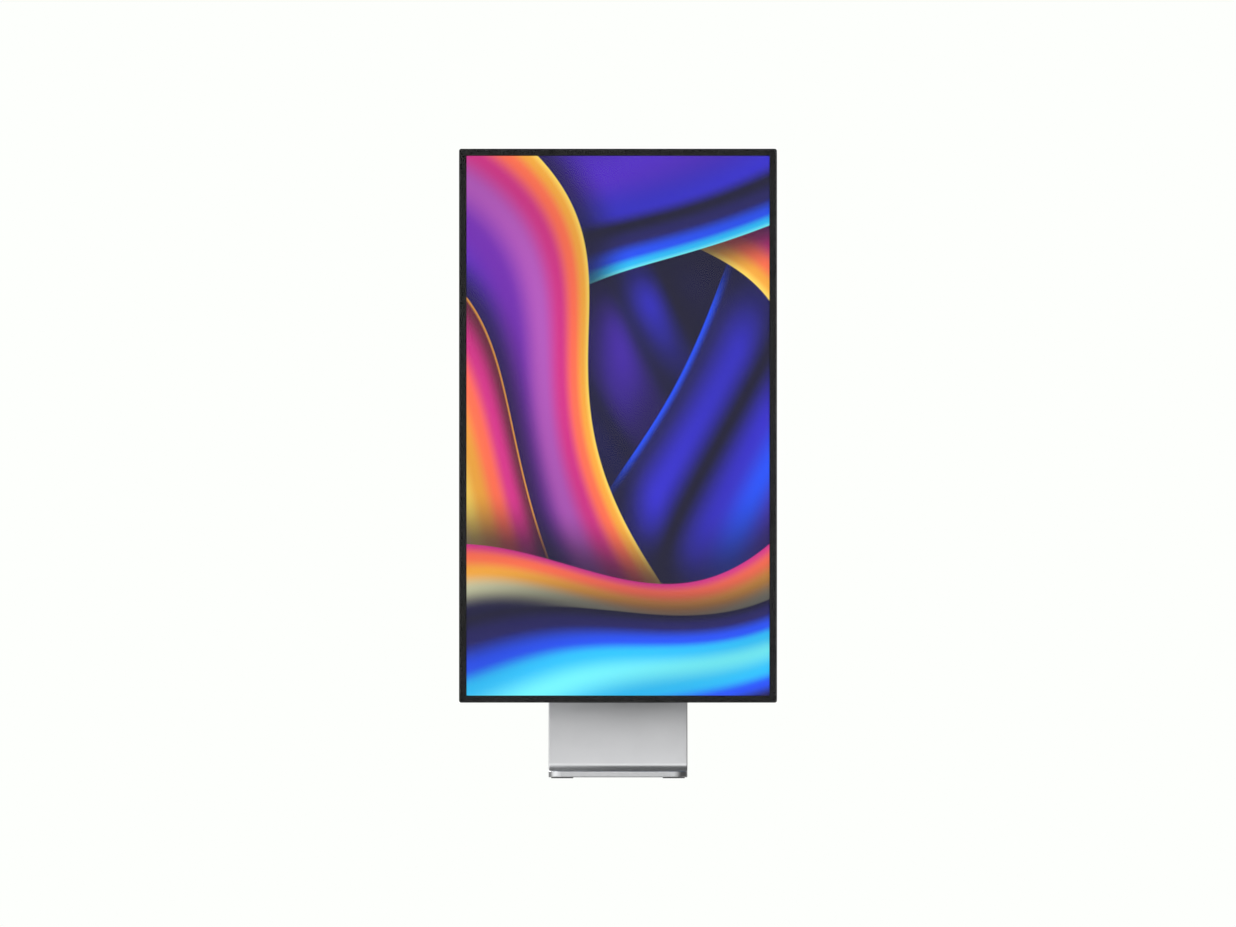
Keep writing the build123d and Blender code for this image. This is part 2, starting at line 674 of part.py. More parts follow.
with BuildPart() as backlight_chassis:
    slab(D_CHASSIS, D_CAVITY, STACK_W, STACK_H)
    ring_slab(D_DIFFUSER, D_CHASSIS, (STACK_W, STACK_H),
              (STACK_W - 2 * CHASSIS_WALL, STACK_H - 2 * CHASSIS_WALL))
keep(backlight_chassis, "backlight_chassis")

with BuildPart() as panel_frame:
    frame_inset = 2 * (WALL + FRAME_GAP)
    ring_slab(D_MASK, D_CAVITY, (PANEL_W - frame_inset, PANEL_H - frame_inset),
              (CELL_W + 2 * CELL_GAP, CELL_H + 2 * CELL_GAP))
keep(panel_frame, "panel_frame")

# ---- display: rear housing and what shows through it -----------------------------------------
SOCKET_R = 70.0
SOCKET_IN = 65.0
SPINDLE_HOLE = FLANGE_R - 1.0
PORT_X = 165.0           # in landscape this edge is the lower one
PORT_PITCH = 18.0
PORT_COUNT = 4
PORT_FIRST = 12.0
PORT_LONG = 9.0
PORT_SHORT = 3.2
PORT_DEEP = 7.0
INLET_Z = -42.0
INLET_LONG = 28.0
INLET_SHORT = 20.0
INLET_CORNER = 1.8
OPENING_FIT = 0.2        # round the ports and the inlet, in the housing
VENT_R = 3.4
VENT_PITCH = 11.0
REAR_EDGE = 2.4
RING_SCREWS = 6          # housing screws in the recess, on a circle
RING_SCREW_CIRCLE = 45.0
RING_SCREW_START = 30
RING_SCREW_R = 1.5
RING_SCREW_HOLE_R = 1.6
RING_SCREW_HEAD_R = 2.6
RING_SCREW_HEAD_T = 0.25
NOTCH_W = 8.8
NOTCH_REACH = 6.8
port_spots = [(PORT_X, PORT_FIRST + n * PORT_PITCH) for n in range(PORT_COUNT)]
vent_fields = [(-160, 0, 4, 48), (160, 210, 4, 18), (160, -210, 4, 18)]

with BuildPart() as rear_housing:
    slab(D_MASK, PANEL_D, PANEL_W, PANEL_H, PANEL_CORNER)
    fillet(rear_housing.faces().sort_by(Axis.Y)[-1].edges(), REAR_EDGE)
    slab(D_MASK, D_WALL, PANEL_W - 2 * WALL, PANEL_H - 2 * WALL, mode=Mode.SUBTRACT)
    discs(D_RECESS_WALL, PANEL_D, SOCKET_R + WALL)
    discs(D_RECESS, PANEL_D, SOCKET_R, mode=Mode.SUBTRACT)
    discs(D_RECESS_WALL, D_RECESS, SPINDLE_HOLE, mode=Mode.SUBTRACT)
    with BuildSketch(layer(PANEL_D)):
        for x, z, across, along in vent_fields:
            with Locations((x, z)):
                with GridLocations(VENT_PITCH, VENT_PITCH, across, along):
                    Circle(VENT_R)
        with Locations(*port_spots):
            SlotOverall(PORT_LONG + 2 * OPENING_FIT, PORT_SHORT + 2 * OPENING_FIT, rotation=90)
        with Locations((PORT_X, INLET_Z)):
            RectangleRounded(INLET_SHORT + 2 * OPENING_FIT, INLET_LONG + 2 * OPENING_FIT,
                             INLET_CORNER + OPENING_FIT)
    extrude(amount=WALL, mode=Mode.SUBTRACT)
    with BuildSketch(layer(D_RECESS)):
        with PolarLocations(RING_SCREW_CIRCLE, RING_SCREWS, start_angle=RING_SCREW_START):
            Circle(RING_SCREW_HOLE_R)
    extrude(amount=WALL, mode=Mode.SUBTRACT)
keep(rear_housing, "rear_housing")

with BuildPart() as mount_socket:
    discs(D_RECESS, PANEL_D, SOCKET_R)
    discs(D_RECESS, PANEL_D, SOCKET_IN, mode=Mode.SUBTRACT)
    # the lock bolt's notches, for portrait and for landscape
    with BuildSketch(layer(PANEL_D)):
        with Locations((0, SOCKET_IN)):
            Rectangle(NOTCH_W, NOTCH_REACH)
        with Locations((-SOCKET_IN, 0)):
            Rectangle(NOTCH_REACH, NOTCH_W)
    extrude(amount=PANEL_D - D_RECESS, mode=Mode.SUBTRACT)
keep(mount_socket, "mount_socket")

BACKBONE_W = 150.0
BACKBONE_H = 210.0
BACKBONE_CORNER = 8.0
POST_R = 6.0
POST_X = 64.0
POST_Z = 94.0
WASHER_GAP = 0.1
post_spots = [(x, z) for x in (-POST_X, POST_X) for z in (-POST_Z, POST_Z)]
D_BACKBONE_REAR = D_BACKBONE + BACKBONE_T
BUSHING_R = 18.0
with BuildPart() as mount_backbone:
    slab(D_BACKBONE, D_BACKBONE_REAR, BACKBONE_W, BACKBONE_H, BACKBONE_CORNER)
    discs(D_BACKBONE, D_BACKBONE_REAR, BUSHING_R, mode=Mode.SUBTRACT)
    discs(D_CAVITY, D_BACKBONE, POST_R, post_spots)
    with BuildSketch(layer(D_BACKBONE_REAR)):
        with PolarLocations(RING_SCREW_CIRCLE, RING_SCREWS, start_angle=RING_SCREW_START):
            Circle(RING_SCREW_R)
    extrude(amount=BACKBONE_T, mode=Mode.SUBTRACT)
keep(mount_backbone, "mount_backbone")

with BuildPart() as housing_screws:
    with BuildSketch(layer(D_RECESS + RING_SCREW_HEAD_T)):
        with PolarLocations(RING_SCREW_CIRCLE, RING_SCREWS, start_angle=RING_SCREW_START):
            Circle(RING_SCREW_HEAD_R)
    extrude(amount=RING_SCREW_HEAD_T)
    with BuildSketch(layer(D_RECESS)):
        with PolarLocations(RING_SCREW_CIRCLE, RING_SCREWS, start_angle=RING_SCREW_START):
            Circle(RING_SCREW_R)
    extrude(amount=D_RECESS - D_BACKBONE)
keep(housing_screws, "housing_screws")

with BuildPart() as rotation_bushing:
    discs(D_BACKBONE, D_RECESS, BUSHING_R)
    discs(D_BACKBONE, D_RECESS, SPINDLE_R + RUN, mode=Mode.SUBTRACT)
keep(rotation_bushing, "rotation_bushing")

with BuildPart() as rotation_wave_washer:
    discs(D_RETAINER + RETAINER_T + WASHER_GAP, D_BACKBONE - WASHER_GAP, BUSHING_R)
    discs(
        D_RETAINER + RETAINER_T + WASHER_GAP, D_BACKBONE - WASHER_GAP, SPINDLE_R + FIT,
        mode=Mode.SUBTRACT,
    )
keep(rotation_wave_washer, "rotation_wave_washer")

# ---- display: electronics --------------------------------------------------------------------
D_BOARD_REAR = D_BOARDS + BOARD_T
MAIN_Z = 232.0
POWER_Z = -232.0
main_board_size = (220.0, 160.0)
power_board_size = (240.0, 150.0)
BOARD_CORNER = 3.0
STANDOFF_INSET = 8.0
STANDOFF_R = 3.2
BOARD_SCREW_R = 1.4
BOARD_SCREW_HOLE_R = 1.6
BOARD_SCREW_HEAD_R = 2.8
BOARD_SCREW_HEAD_T = 1.6
BOARD_SCREW_END = 0.5    # screw's tip, above the tray


def board_corners(middle_z, size):
    """Screw places near a board's four corners."""
    half_w = size[0] / 2 - STANDOFF_INSET
    half_h = size[1] / 2 - STANDOFF_INSET
    return [(x, middle_z + z) for x in (-half_w, half_w) for z in (-half_h, half_h)]


board_screw_spots = board_corners(MAIN_Z, main_board_size) + board_corners(POWER_Z, power_board_size)


def circuit_board(middle_z, size):
    """A board on standoffs, with a screw hole near each corner."""
    with BuildSketch(layer(D_BOARD_REAR)) as board:
        with Locations((0, middle_z)):
            RectangleRounded(*size, BOARD_CORNER)
        with Locations(*board_corners(middle_z, size)):
            Circle(BOARD_SCREW_HOLE_R, mode=Mode.SUBTRACT)
    extrude(board.sketch, amount=BOARD_T)


with BuildPart() as main_board:
    circuit_board(MAIN_Z, main_board_size)
keep(main_board, "main_board")

with BuildPart() as power_board:
    circuit_board(POWER_Z, power_board_size)
keep(power_board, "power_board")

with BuildPart() as board_standoffs:
    with BuildSketch(layer(D_BOARDS)):
        with Locations(*board_screw_spots):
            RegularPolygon(STANDOFF_R, 6)
            Circle(BOARD_SCREW_R, mode=Mode.SUBTRACT)
    extrude(amount=D_BOARDS - D_CAVITY)
keep(board_standoffs, "board_standoffs")

with BuildPart() as board_screws:
    discs(D_BOARD_REAR, D_BOARD_REAR + BOARD_SCREW_HEAD_T, BOARD_SCREW_HEAD_R, board_screw_spots)
    discs(D_CAVITY + BOARD_SCREW_END, D_BOARD_REAR, BOARD_SCREW_R, board_screw_spots)
keep(board_screws, "board_screws")

D_CHIP = D_BOARD_REAR + 1.8
D_MEMORY = D_BOARD_REAR + 1.2
processors = [(0, MAIN_Z, 34, 34), (-58, MAIN_Z + 20, 24, 24)]
memories = [(x, MAIN_Z - 42, 14, 9) for x in (-66, -44, -22, 0, 22, 44)]
with BuildPart() as main_board_chips:
    blocks(D_BOARD_REAR, D_CHIP, processors)
    blocks(D_BOARD_REAR, D_MEMORY, memories)
keep(main_board_chips, "main_board_chips")

FIN_COUNT = 12
FIN_PITCH = 7.0
FIN_T = 1.4
FIN_L = 66.0
D_SINK = D_CHIP + 2.0
D_FIN_TIP = D_WALL - 0.8
SINK_Z = MAIN_Z + 6.0
with BuildPart() as heat_sink:
    blocks(D_CHIP, D_SINK, [(0, SINK_Z, 90, 70)])
    with BuildSketch(layer(D_FIN_TIP)):
        with Locations((0, SINK_Z)):
            with GridLocations(FIN_PITCH, 1, FIN_COUNT, 1):
                Rectangle(FIN_T, FIN_L)
    extrude(amount=D_FIN_TIP - D_SINK)
keep(heat_sink, "heat_sink")

D_TALL = D_WALL - 1.5
D_SHORT = D_WALL - 4.0
transformers = [(-62, POWER_Z + 12, 38, 32), (20, POWER_Z + 20, 30, 28)]
large_capacitors = [(-88, POWER_Z - 44), (-66, POWER_Z - 44), (60, POWER_Z - 40)]
small_capacitors = [(84, POWER_Z - 40), (84, POWER_Z - 24), (84, POWER_Z - 8)]
with BuildPart() as power_board_parts:
    blocks(D_BOARD_REAR, D_TALL, transformers)
    discs(D_BOARD_REAR, D_TALL, 8, large_capacitors)
    discs(D_BOARD_REAR, D_SHORT, 5, small_capacitors)
keep(power_board_parts, "power_board_parts")

TIMING_X = 112.0
TIMING_W = 36.0
TIMING_H = 200.0
D_TIMING = D_CAVITY + 0.6
D_TIMING_REAR = D_CAVITY + 2.0
D_TIMING_CHIP = D_CAVITY + 3.2
with BuildPart() as timing_board:
    blocks(D_TIMING, D_TIMING_REAR, [(TIMING_X, 0, TIMING_W, TIMING_H)])
    blocks(D_TIMING_REAR, D_TIMING_CHIP, [(TIMING_X, 0, 18, 18), (TIMING_X, 60, 8, 12)])
    blocks(D_CAVITY, D_TIMING, [(TIMING_X, z, 30, 6) for z in (-90, 90)])
keep(timing_board, "timing_board")

FLEX_W = 24.0
FLEX_T = 0.3
FLEX_X = STACK_W / 2 + SHEET_GAP
FLEX_OUT = FLEX_X + FLEX_T
FLEX_IN = TIMING_X + TIMING_W / 2 + 1.0
flex_places = (-75, -25, 25, 75)
with BuildPart() as flex_cables:
    blocks(D_CAVITY, D_CAVITY + FLEX_T,
           [((FLEX_IN + FLEX_OUT) / 2, z, FLEX_OUT - FLEX_IN, FLEX_W) for z in flex_places])
    blocks(D_CELL, D_CAVITY + FLEX_T,
           [((FLEX_X + FLEX_OUT) / 2, z, FLEX_T, FLEX_W) for z in flex_places])
keep(flex_cables, "flex_cables")

D_PORT_FRONT = PANEL_D - PORT_DEEP
D_PORT_REAR = PANEL_D - 0.2
PORT_BOARD_W = 26.0
PORT_BOARD_CORNER = 2.0
PORT_POST_R = 2.5
PORT_POST_OUT = 7.0      # posts, beyond the end ports
PORT_SHELL = 0.3
PORT_FLOOR = 1.2
TONGUE_T = 0.7
TONGUE_W = PORT_LONG - 2.4
port_post_spots = [(PORT_X, port_spots[0][1] - PORT_POST_OUT),
                   (PORT_X, port_spots[-1][1] + PORT_POST_OUT)]
with BuildPart() as port_board:
    with BuildSketch(layer(D_PORT_FRONT)):
        with Locations((PORT_X, PORT_FIRST + PORT_PITCH * (PORT_COUNT - 1) / 2)):
            RectangleRounded(PORT_BOARD_W, PORT_PITCH * PORT_COUNT + 2, PORT_BOARD_CORNER)
    extrude(amount=BOARD_T)
    discs(D_CAVITY + FLEX_T + OPENING_FIT, D_PORT_FRONT - BOARD_T, PORT_POST_R, port_post_spots)
keep(port_board, "port_board")

with BuildPart() as data_ports:
    with BuildSketch(layer(D_PORT_REAR)):
        with Locations(*port_spots):
            SlotOverall(PORT_LONG, PORT_SHORT, rotation=90)
    extrude(amount=D_PORT_REAR - D_PORT_FRONT)
    with BuildSketch(layer(D_PORT_REAR)):
        with Locations(*port_spots):
            SlotOverall(PORT_LONG - 2 * PORT_SHELL, PORT_SHORT - 2 * PORT_SHELL, rotation=90)
            Rectangle(TONGUE_T, TONGUE_W, mode=Mode.SUBTRACT)
    extrude(amount=D_PORT_REAR - D_PORT_FRONT - PORT_FLOOR, mode=Mode.SUBTRACT)
keep(data_ports, "data_ports")

D_INLET = 10.6
D_INLET_FLOOR = 12.6
MOUTH_LONG = 24.4
MOUTH_SHORT = 16.4
MOUTH_CORNER = 4.0
with BuildPart() as ac_inlet:
    with BuildSketch(layer(PANEL_D)):
        with Locations((PORT_X, INLET_Z)):
            RectangleRounded(INLET_SHORT, INLET_LONG, INLET_CORNER)
    extrude(amount=PANEL_D - D_INLET)
    with BuildSketch(layer(PANEL_D)) as mouth:
        with Locations((PORT_X, INLET_Z)):
            Rectangle(MOUTH_SHORT, MOUTH_LONG)
        chamfer(mouth.vertices().group_by(Axis.X)[-1], MOUTH_CORNER)
    extrude(amount=PANEL_D - D_INLET_FLOOR, mode=Mode.SUBTRACT)
keep(ac_inlet, "ac_inlet")

BLADE_PITCH = 7.0
BLADE_OFFSET = 2.0
D_BLADE_TIP = 22.4
blade = (4.0, 2.0)
with BuildPart() as inlet_pins:
    blocks(D_INLET_FLOOR, D_BLADE_TIP, [
        (PORT_X - BLADE_OFFSET, INLET_Z - BLADE_PITCH, *blade),
        (PORT_X - BLADE_OFFSET, INLET_Z + BLADE_PITCH, *blade),
        (PORT_X + BLADE_OFFSET, INLET_Z, *blade),
    ])
keep(inlet_pins, "inlet_pins")

# ---- cooling fans ----------------------------------------------------------------------------
FAN_X = -135.0
FAN_Z = 75.0
FAN_SIZE = 86.0
FAN_CORNER = 6.0
FAN_BORE_R = 37.0
FAN_HUB_R = 13.5
FAN_BLADES = 9
FAN_BLADE_L = 23.0
FAN_BLADE_T = 1.4
FAN_BLADE_SLANT = 38     # degrees
FAN_TIP_GAP = 0.8
FAN_PIN_R = 1.5
SPIDER_T = 1.6
SPIDER_ARMS = 3
SPIDER_ARM_W = 5.0
SPIDER_MIDDLE = FAN_BORE_R / 2 + 6.0
SPIDER_REACH = FAN_BORE_R - 8.0
D_FAN = D_CAVITY + 0.4
D_FAN_REAR = D_WALL - 0.6
D_ROTOR = D_FAN + 2.4


def fan_frame(z):
    """The square shroud, with a boss on three arms that carries the rotor's pin."""
    with BuildSketch(layer(D_FAN_REAR)) as shroud:
        with Locations((FAN_X, z)):
            RectangleRounded(FAN_SIZE, FAN_SIZE, FAN_CORNER)
            Circle(FAN_BORE_R, mode=Mode.SUBTRACT)
    extrude(shroud.sketch, amount=D_FAN_REAR - D_FAN)
    with BuildSketch(layer(D_FAN + SPIDER_T)) as spider:
        with Locations((FAN_X, z)):
            Circle(FAN_HUB_R - 1)
            with PolarLocations(SPIDER_MIDDLE, SPIDER_ARMS):
                Rectangle(SPIDER_REACH, SPIDER_ARM_W)
            Circle(FAN_PIN_R + RUN / 2, mode=Mode.SUBTRACT)
    extrude(spider.sketch, amount=SPIDER_T)


def fan_rotor(z):
    """Hub cup with slanted blades and the pin it spins on."""
    thickness = D_FAN_REAR - 1 - D_ROTOR
    middle = layer(D_ROTOR + thickness / 2)
    hub_plane = Plane(origin=middle.origin + Vector(FAN_X, 0, z),
                      x_dir=middle.x_dir, z_dir=middle.z_dir)
    with Locations(hub_plane):
        Cylinder(FAN_HUB_R, thickness)
        with PolarLocations(FAN_HUB_R + FAN_BLADE_L / 2, FAN_BLADES):
            Box(FAN_BLADE_L + 2, FAN_BLADE_T, thickness * 2, rotation=(FAN_BLADE_SLANT, 0, 0))
        Cylinder(FAN_BORE_R - FAN_TIP_GAP, thickness, mode=Mode.INTERSECT)
    discs(D_FAN + 0.2, D_ROTOR, FAN_PIN_R, [(FAN_X, z)])


with BuildPart() as fan_frames:
    fan_frame(FAN_Z)
    fan_frame(-FAN_Z)
keep(fan_frames, "fan_frames")

with BuildPart() as fan_rotor_upper:
    fan_rotor(FAN_Z)
keep(fan_rotor_upper, "fan_rotor_upper")

with BuildPart() as fan_rotor_lower:
    fan_rotor(-FAN_Z)
keep(fan_rotor_lower, "fan_rotor_lower")
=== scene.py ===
"""Looks of the desktop monitor: materials, a generic lit picture, soft studio light and camera."""
import json
from collections import namedtuple
from math import radians, sin, cos

import bpy
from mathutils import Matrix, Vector


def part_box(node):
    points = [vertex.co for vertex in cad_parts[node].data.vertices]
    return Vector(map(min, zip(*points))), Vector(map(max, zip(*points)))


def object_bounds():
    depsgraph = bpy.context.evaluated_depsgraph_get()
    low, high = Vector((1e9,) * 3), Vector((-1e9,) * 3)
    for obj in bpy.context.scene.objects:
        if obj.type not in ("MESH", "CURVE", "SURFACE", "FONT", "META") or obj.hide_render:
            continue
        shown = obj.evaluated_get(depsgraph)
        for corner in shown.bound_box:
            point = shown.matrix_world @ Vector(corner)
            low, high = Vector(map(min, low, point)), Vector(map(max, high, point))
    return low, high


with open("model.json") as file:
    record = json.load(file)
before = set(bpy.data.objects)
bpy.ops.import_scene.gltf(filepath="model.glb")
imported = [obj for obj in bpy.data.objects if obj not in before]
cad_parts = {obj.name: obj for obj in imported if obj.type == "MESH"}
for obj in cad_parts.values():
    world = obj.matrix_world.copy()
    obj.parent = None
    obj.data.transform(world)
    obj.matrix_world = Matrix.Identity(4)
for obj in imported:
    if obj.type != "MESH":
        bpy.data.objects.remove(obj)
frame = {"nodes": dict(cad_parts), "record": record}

cad_low, cad_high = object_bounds()
nodes = frame["nodes"]
scene = bpy.context.scene

# ---- the object's own sizes, in metres, read from the frame --------------------------------------
MIDDLE = (cad_low + cad_high) / 2
HEIGHT = cad_high.z - cad_low.z
cell_low, cell_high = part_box("lcd_cell")
SCREEN_MIDDLE = (cell_low + cell_high) / 2
SCREEN_HALF_W = (cell_high.x - cell_low.x) / 2
SCREEN_HALF_H = (cell_high.z - cell_low.z) / 2
disc_low, disc_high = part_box("mount_disc")
DISC_MIDDLE = (disc_low + disc_high) / 2

# ---- camera: straight in front, without perspective ----------------------------------------------
FILLS = 0.679            # the object's height as a part of the view's height
ASPECT = 4 / 3           # the view's width over its height
CAMERA_AWAY = 6.0
camera_data = bpy.data.cameras.new("camera")
camera_data.type = "ORTHO"
camera_data.ortho_scale = HEIGHT / FILLS * ASPECT
camera = bpy.data.objects.new("camera", camera_data)
camera.location = (MIDDLE.x, -CAMERA_AWAY, MIDDLE.z)
camera.rotation_euler = (radians(90), 0, 0)
scene.collection.objects.link(camera)
scene.camera = camera
scene.view_settings.view_transform = "Standard"


# ---- short ways to build a node tree -------------------------------------------------------------
def add(tree, kind, inputs=None, **settings):
    """A node with its settings; each input is a value, or another node's socket to link."""
    node = tree.nodes.new(kind)
    for name, value in settings.items():
        setattr(node, name, value)
    for name, value in (inputs or {}).items():
        if isinstance(value, bpy.types.NodeSocket):
            tree.links.new(value, node.inputs[name])
        else:
            node.inputs[name].default_value = value
    return node


def calc(tree, operation, *values):
    """One Math node; its values are numbers or sockets."""
    return add(tree, "ShaderNodeMath", dict(enumerate(values)), operation=operation).outputs[0]


def spread(tree, factor, low, high):
    """A 0..1 factor stretched to run from low to high."""
    return add(tree, "ShaderNodeMapRange", {"Value": factor, "To Min": low, "To Max": high}).outputs[0]


def smooth(tree, value, start, end):
    """0 before start, 1 after end, and smooth between them."""
    inputs = {"Value": value, "From Min": start, "From Max": end}
    return add(tree, "ShaderNodeMapRange", inputs, interpolation_type="SMOOTHSTEP").outputs[0]


def ramp(tree, factor, stops, interpolation="LINEAR"):
    """A colour ramp; stops are (place, (r, g, b))."""
    node = add(tree, "ShaderNodeValToRGB", {"Fac": factor})
    band = node.color_ramp
    band.interpolation = interpolation
    while len(band.elements) < len(stops):
        band.elements.new(0.5)
    for element, (place, colour) in zip(band.elements, stops):
        element.position = place
        element.color = (*colour, 1)
    return node.outputs["Color"]


def blend(tree, factor, first, second, how="MIX"):
    """Two colours mixed."""
    node = add(tree, "ShaderNodeMix", data_type="RGBA", blend_type=how)
    for socket, value in ((node.inputs[0], factor), (node.inputs[6], first), (node.inputs[7], second)):
        if isinstance(value, bpy.types.NodeSocket):
            tree.links.new(value, socket)
        else:
            socket.default_value = value
    return node.outputs[2]


def vector_calc(tree, operation, *values):
    """One Vector Math node; its values are vectors or sockets."""
    return add(tree, "ShaderNodeVectorMath", dict(enumerate(values)), operation=operation)


def wave(tree, value, rate, phase, height, base=0.0):
    """base + height * sin(rate * value + phase)."""
    swing = calc(tree, "SINE", calc(tree, "MULTIPLY_ADD", value, rate, phase))
    return calc(tree, "MULTIPLY_ADD", swing, height, base)


def object_point(tree):
    """The point on the surface, in metres, in the object's own frame."""
    return add(tree, "ShaderNodeTexCoord").outputs["Object"]


def noise(tree, point, scale, detail=2.0, roughness=0.5):
    """Soft random variation, 0..1; scale is in patches per metre."""
    inputs = {"Vector": point, "Scale": scale, "Detail": detail, "Roughness": roughness}
    return add(tree, "ShaderNodeTexNoise", inputs).outputs["Fac"]


def stretched(tree, point, scale):
    """The point with each axis scaled, for grain that runs one way."""
    return add(tree, "ShaderNodeMapping", {"Vector": point, "Scale": scale}).outputs["Vector"]


def bump(tree, height, strength, distance):
    """A normal from a height, distance in metres."""
    inputs = {"Height": height, "Strength": strength, "Distance": distance}
    return add(tree, "ShaderNodeBump", inputs).outputs["Normal"]


def grey(value):
    """A colour with three equal parts."""
    return (value, value, value)


def start_material(name):
    """A material with an empty tree."""
    material = bpy.data.materials.new(name)
    material.use_nodes = True
    material.node_tree.nodes.clear()
    return material, material.node_tree


def finish_material(tree, shader):
    """Join the shader to the surface."""
    add(tree, "ShaderNodeOutputMaterial", {"Surface": shader.outputs[0]})


def mottled(tree, point, colour, amount, scale):
    """The colour with soft lighter and darker patches."""
    low = tuple(c * (1 - amount) for c in colour)
    high = tuple(min(1.0, c * (1 + amount)) for c in colour)
    return ramp(tree, noise(tree, point, scale), [(0.3, low), (0.7, high)])


# ---- materials: grain and patch scales are per metre, depths in metres ---------------------------
def blasted_metal(name, colour, rough=0.36):
    """Bead-blasted anodised aluminium: a very fine grain, with soft changes in gloss."""
    material, tree = start_material(name)
    point = object_point(tree)
    grain = noise(tree, point, scale=2600, detail=1.0)
    gloss = noise(tree, point, scale=22)
    shader = add(tree, "ShaderNodeBsdfPrincipled", {
        "Base Color": mottled(tree, point, colour, amount=0.015, scale=30),
        "Metallic": 1.0,
        "Roughness": spread(tree, gloss, low=rough - 0.04, high=rough + 0.04),
        "Normal": bump(tree, grain, strength=0.12, distance=0.00006),
    })
    finish_material(tree, shader)
    return material


def turned_metal(name, colour, centre, rough=0.28, rings_per_metre=4200):
    """Metal faced on a lathe: fine rings round an axis along Y through the centre."""
    material, tree = start_material(name)
    point = object_point(tree)
    offset = vector_calc(tree, "SUBTRACT", point, tuple(centre)).outputs[0]
    flat = vector_calc(tree, "MULTIPLY", offset, (1, 0, 1)).outputs[0]
    radius = vector_calc(tree, "LENGTH", flat).outputs["Value"]
    place = calc(tree, "MULTIPLY", radius, rings_per_metre)
    rings = add(tree, "ShaderNodeTexNoise", {"W": place, "Scale": 1.0, "Detail": 2.0},
                noise_dimensions="1D").outputs["Fac"]
    shader = add(tree, "ShaderNodeBsdfPrincipled", {
        "Base Color": mottled(tree, point, colour, amount=0.02, scale=40),
        "Metallic": 1.0,
        "Roughness": spread(tree, rings, low=rough - 0.05, high=rough + 0.07),
        "Normal": bump(tree, rings, strength=0.15, distance=0.00004),
    })
    finish_material(tree, shader)
    return material


def ground_steel(name, colour, rough=0.3, grain=(60, 3000, 3000)):
    """Ground or drawn metal: fine lines along the axis whose grain is coarsest."""
    material, tree = start_material(name)
    point = object_point(tree)
    lines = noise(tree, stretched(tree, point, grain), scale=1.0, detail=3.0)
    shader = add(tree, "ShaderNodeBsdfPrincipled", {
        "Base Color": mottled(tree, point, colour, amount=0.05, scale=120),
        "Metallic": 1.0,
        "Roughness": spread(tree, lines, low=rough - 0.06, high=rough + 0.08),
        "Normal": bump(tree, lines, strength=0.15, distance=0.00003),
    })
    finish_material(tree, shader)
    return material


def moulded_plastic(name, colour, rough=0.5, shine=0.5):
    """Moulded plastic with a fine spark-eroded texture."""
    material, tree = start_material(name)
    point = object_point(tree)
    gloss = noise(tree, point, scale=90)
    shader = add(tree, "ShaderNodeBsdfPrincipled", {
        "Base Color": mottled(tree, point, colour, amount=0.06, scale=60),
        "Specular IOR Level": shine,
        "Roughness": spread(tree, gloss, low=rough - 0.06, high=rough + 0.06),
        "Normal": bump(tree, noise(tree, point, scale=900), strength=0.3, distance=0.00008),
    })
    finish_material(tree, shader)
    return material


def foot_rubber():
    """Dense black rubber with shallow cross ribs."""
    material, tree = start_material("foot_rubber")
    point = object_point(tree)
    ribs = add(tree, "ShaderNodeTexWave", {"Vector": point, "Scale": 60.0, "Distortion": 0.0},
               bands_direction="Y").outputs["Fac"]
    surface = calc(tree, "ADD", calc(tree, "MULTIPLY", ribs, 0.6), noise(tree, point, scale=1400))
    shader = add(tree, "ShaderNodeBsdfPrincipled", {
        "Base Color": mottled(tree, point, grey(0.004), amount=0.12, scale=150),
        "Specular IOR Level": 0.12,
        "Roughness": spread(tree, noise(tree, point, scale=300), low=0.62, high=0.8),
        "Normal": bump(tree, surface, strength=0.4, distance=0.0002),
    })
    finish_material(tree, shader)
    return material


def clear_glass():
    """Flat cover glass with an anti-glare coating, and the faintest haze from wiping."""
    material, tree = start_material("clear_glass")
    wiped = stretched(tree, object_point(tree), (1, 1, 2.5))
    haze = noise(tree, wiped, scale=6, detail=3.0)
    shader = add(tree, "ShaderNodeBsdfPrincipled", {
        "Base Color": (1, 1, 1, 1),
        "Roughness": spread(tree, haze, low=0.0, high=0.03),
        "IOR": 1.20,
        "Transmission Weight": 1.0,
    })
    finish_material(tree, shader)
    return material


def circuit(name, colour, light=1.4, dark=0.5):
    """Solder mask in lighter and plain fields, with darker lines between them."""
    material, tree = start_material(name)
    point = object_point(tree)
    fields = add(tree, "ShaderNodeTexBrick", {
        "Vector": point, "Scale": 90.0, "Mortar Size": 0.03,
        "Color1": (*colour, 1),
        "Color2": (*(c * light for c in colour), 1),
        "Mortar": (*(c * dark for c in colour), 1),
    }).outputs["Color"]
    shader = add(tree, "ShaderNodeBsdfPrincipled", {
        "Base Color": fields,
        "Roughness": spread(tree, noise(tree, point, scale=200), low=0.25, high=0.4),
        "Normal": bump(tree, noise(tree, point, scale=700), strength=0.3, distance=0.0001),
    })
    finish_material(tree, shader)
    return material


# ---- the lit picture: soft overlapping folds in deep blue, violet, orange and cyan ---------------
INK = (0.006, 0.005, 0.030)
NAVY = (0.012, 0.010, 0.110)
BLUE = (0.030, 0.022, 0.560)
ROYAL = (0.012, 0.075, 0.860)
INDIGO = (0.070, 0.018, 0.480)
VIOLET = (0.150, 0.018, 0.400)
ORCHID = (0.420, 0.085, 0.470)
MAGENTA = (0.620, 0.025, 0.230)
CORAL = (0.980, 0.155, 0.075)
AMBER = (0.900, 0.390, 0.045)
YELLOW = (0.950, 0.660, 0.110)
CREAM = (0.640, 0.640, 0.400)
CYAN = (0.020, 0.520, 0.950)
ICE = (0.160, 0.850, 0.960)
MAROON = (0.140, 0.018, 0.045)

